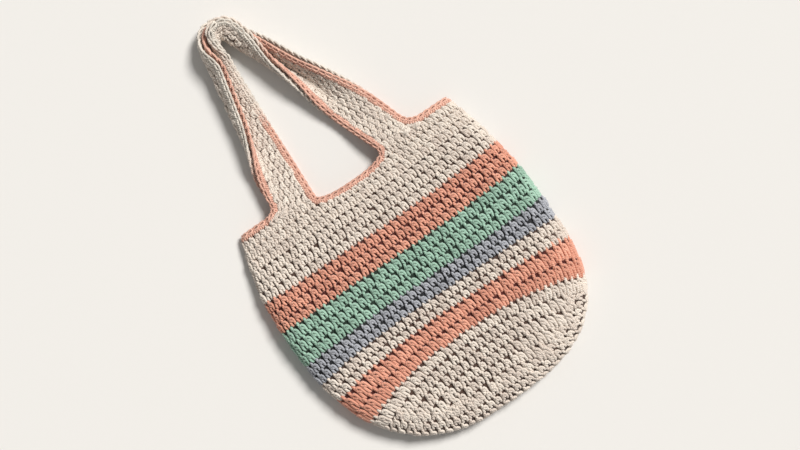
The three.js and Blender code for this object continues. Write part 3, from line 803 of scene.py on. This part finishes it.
creamLooks = [materials["cream"], paintedShadeMaterials["cream"]]
for name, face in (("front_handle", 1), ("back_handle", -1)):
    piece = addPiece(name + "_crochet", handleParts(face), creamLooks)
    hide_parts(name)
    print(name, "crocheted with", len(piece.data.polygons), "faces")


edging = {
    "pitch": 0.0082, "away": 0.0038, "tilt": 24,  # the chain's face tips outwards by this many degrees
    "radius": 0.0014, "barRadius": 0.0013, "barsPerLink": 3,
    # along in chain pitches, sideways and up in metres
    "link": [(-0.05, -0.0005, -0.0014), (0.22, -0.0009, -0.0002), (0.60, -0.0016, 0.0007),
             (1.02, -0.0021, 0.0011), (1.24, 0.0, 0.0003), (1.02, 0.0021, 0.0011), (0.60, 0.0016, 0.0007),
             (0.22, 0.0009, -0.0002), (-0.05, 0.0005, -0.0014)],
    "linkRings": 11,
    # along in chain pitches, away from the edge and up in metres
    "bar": [(0.12, 0.0024, -0.0012), (0.08, 0.0015, 0.0004), (0.0, 0.0006, 0.0009),
            (-0.06, -0.0004, 0.0006), (-0.08, -0.0011, -0.0006)],
    "barRings": 5, "barSink": 0.0016, "sway": 0.05,
    "step": 0.001, "span": 3,  # the edge's samples, and how many of them its direction spans each way
    "rimSamples": 160, "rimTrim": 2,  # samples left out where the rim meets a strap
    "pale": (244, 234, 222), "paleEverywhere": 0.24,
    # heights over the rim, or places across it, between which the chain pales, and the share on each edge
    "paleLeft": (0.075, 0.125), "paleRight": (0.145, 0.185), "paleMiddle": (-0.030, -0.010),
    "paleBack": (0.020, 0.090), "paleFront": {1: 0.25, -1: 0.9},
}


def paleShare(points, face, side):
    # how far the chain pales towards the top of the handle: on the front it starts lower on the left leg
    x, y = points[:, 0], points[:, 1] - rimY
    if face < 0:
        return smooth(y, *edging["paleBack"])
    left, right = smooth(y, *edging["paleLeft"]), smooth(y, *edging["paleRight"])
    return mix(left, right, smooth(x, *edging["paleMiddle"])) * edging["paleFront"][side]


def strapEdge(face, side):
    # a handle's edge from left root to right root, with the fabric's outside and the paleness there
    run = np.linspace(0, handleRun, strap["edgeSamples"])
    across = np.full(len(run), side * strap["width"] / 2)
    point = strapPlace(face, run, across, run * 0)
    outside = unit(strapPlace(face, run, across, run * 0 + strap["probe"]) - point) * face
    return np.column_stack([point, outside, paleShare(point, face, side)])


def rimEdge(low, high):  # edge of the rim between two turns, halfway through the fabric
    turn = np.linspace(low, high, edging["rimSamples"])[edging["rimTrim"]:-edging["rimTrim"]]
    x = onFabric(turn, turn * 0, turn * 0)[0][:, 0]
    point, outside = onFabric(turn, neckDrop(x), np.full(len(turn), -body["thickness"] / 2))
    return np.column_stack([point, outside, turn * 0])


def chainParts(edges):
    # frame along the edge: away = outside x along, up = along x away; links and bars sit in that frame
    edge = np.concatenate(edges)
    edge = np.vstack([edge, edge[:1]])
    length = np.concatenate([[0], np.cumsum(np.linalg.norm(np.diff(edge[:, :3], axis=0), axis=1))])
    total = length[-1]
    even = np.linspace(0, total, int(total / edging["step"]), endpoint=False)
    edge = np.stack([np.interp(even, length, column) for column in edge.T], axis=1)
    line, outside, pale = edge[:, :3], edge[:, 3:6], edge[:, 6]
    along = unit(np.roll(line, -edging["span"], axis=0) - np.roll(line, edging["span"], axis=0))
    away = unit(np.cross(outside, along))
    up = np.cross(along, away)
    links = int(round(total / edging["pitch"]))
    pitch = total / links

    def frameAt(s):  # straight blend between the two nearest samples of the edge
        place = (s % total) / total * len(even)
        low = np.floor(place).astype(int) % len(even)
        high = (low + 1) % len(even)
        share = (place - np.floor(place))[..., None]
        return [mix(values[low], values[high], share) for values in (line, away, up, pale[:, None])]

    def strands(centres, facing, radius, paleness):  # tubes of one thickness that carry the paleness
        shade = dice.uniform(0, 1, len(centres))
        part = yarnTubes(centres, facing, np.full(centres.shape[:2], radius), shade)
        paleness = np.maximum(paleness.ravel(), edging["paleEverywhere"])
        part["pale"] = np.repeat(paleness, yarn["sides"])
        return part

    tilt = math.radians(edging["tilt"])
    shape = strandShape(edging["link"], edging["linkRings"])
    sway = dice.normal(0, edging["sway"], (links, 1))
    base, awayHere, upHere, paleness = frameAt((np.arange(links)[:, None] + shape[:, 0] + sway) * pitch)
    sideways = awayHere * math.cos(tilt) - upHere * math.sin(tilt)
    facing = upHere * math.cos(tilt) + awayHere * math.sin(tilt)
    centres = base + awayHere * edging["away"] + sideways * shape[:, 1:2] + facing * shape[:, 2:]
    parts = [strands(centres, facing, edging["radius"], paleness)]
    shape = strandShape(edging["bar"], edging["barRings"])
    bars = np.arange(links * edging["barsPerLink"])[:, None] / edging["barsPerLink"]
    for face in (1, -1):  # bars that wrap the edge on both faces of the fabric
        base, awayHere, upHere, paleness = frameAt((bars + shape[:, 0]) * pitch)
        rise = face * (body["thickness"] / 2 - edging["barSink"] + shape[:, 2:])
        centres = base + awayHere * shape[:, 1:2] + upHere * rise
        parts.append(strands(centres, upHere * face, edging["barRadius"], paleness))
    return parts


tOuterLeft = float(rimTurn(strap["leftRoot"] - strap["width"] / 2 - strap["rootFillet"]))
tOuterRight = float(rimTurn(strap["rightRoot"] + strap["width"] / 2 + strap["rootFillet"]))
tNeckLeft, tNeckRight = float(rimTurn(neckLeft)), float(rimTurn(neckRight))
edgeLoops = {
    "mouth_edging": [strapEdge(1, 1), rimEdge(tOuterRight, 2 - tOuterRight),
                     strapEdge(-1, 1)[::-1], rimEdge(2 - tOuterLeft, 2 + tOuterLeft)],
    "front_hole_edging": [strapEdge(1, -1)[::-1], rimEdge(tNeckLeft, tNeckRight)],
    "back_hole_edging": [strapEdge(-1, -1), rimEdge(2 - tNeckRight, 2 - tNeckLeft)],
}
chainMaterial = yarnMaterial("coralChain", yarn["coral"], pale=edging["pale"])
for name, edges in edgeLoops.items():
    piece = addPiece(name + "_chain", chainParts(edges), [chainMaterial])
    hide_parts(name)
    print(name, "chained with", len(piece.data.polygons), "faces")


stageLook = {
    "floorColour": (0.80, 0.79, 0.77, 1), "floorHalf": 12.0, "floorRoughness": 0.8,
    "worldStrength": 0.25, "worldColour": (1.0, 0.985, 0.96, 1), "seenStrength": 0.80,
    "keyStrength": 3.6, "keyAngle": 20, "keyElevation": 48, "keyAzimuth": 14,
    "keyColour": (1.0, 0.975, 0.94),
}
half = stageLook["floorHalf"]
floorMesh = bpy.data.meshes.new("floor")
floorCorners = [(-half, -half, 0), (half, -half, 0), (half, half, 0), (-half, half, 0)]
floorMesh.from_pydata(floorCorners, [], [(0, 1, 2, 3)])
floor = bpy.data.objects.new("floor", floorMesh)
bpy.context.scene.collection.objects.link(floor)
floorMaterial = bpy.data.materials.new("paleFloor")
floorMaterial.use_nodes = True
floorShader = floorMaterial.node_tree.nodes["Principled BSDF"]
floorShader.inputs["Base Color"].default_value = stageLook["floorColour"]
floorShader.inputs["Roughness"].default_value = stageLook["floorRoughness"]
floorMesh.materials.append(floorMaterial)

world = bpy.data.worlds.new("softStudio")
world.use_nodes = True
sky = world.node_tree.nodes["Background"]
sky.inputs["Color"].default_value = stageLook["worldColour"]
pen = Thread(world.node_tree)
camRay, glossRay, throughRay = (
    pen.node("ShaderNodeLightPath", output=name)
    for name in ("Is Camera Ray", "Is Glossy Ray", "Is Transmission Ray")
)
# seen directly, the sky is as pale as the floor
seen = pen.math("MINIMUM", camRay + glossRay + throughRay, 1.0)
strength = seen * stageLook["seenStrength"] + (1 - seen) * stageLook["worldStrength"]
world.node_tree.links.new(strength.socket, sky.inputs["Strength"])
bpy.context.scene.world = world

# even light from one side, soft by its wide angle
keyLamp = bpy.data.lights.new("keyLight", "SUN")
keyLamp.energy = stageLook["keyStrength"]
keyLamp.angle = math.radians(stageLook["keyAngle"])
keyLamp.color = stageLook["keyColour"]
keyLight = bpy.data.objects.new("keyLight", keyLamp)
fromUpright = math.radians(90 - stageLook["keyElevation"])
keyLight.rotation_euler = (0, fromUpright, math.radians(stageLook["keyAzimuth"]))
bpy.context.scene.collection.objects.link(keyLight)

view = {
    "centre": (0.0139, -0.0384), "roll": -34.2, "widthSeen": 0.904, "planeHeight": 0.020, "distance": 1.7,
    "sensor": 36.0,
}
cameraData = bpy.data.cameras.new("camera")
cameraData.sensor_width = view["sensor"]
cameraData.lens = view["sensor"] * view["distance"] / view["widthSeen"]
camera = bpy.data.objects.new("camera", cameraData)
camera.location = (*view["centre"], view["planeHeight"] + view["distance"])
camera.rotation_euler = (0, 0, math.radians(view["roll"]))
bpy.context.scene.collection.objects.link(camera)
bpy.context.scene.camera = camera
bpy.context.scene.view_settings.view_transform = "Standard"
print("stage set")
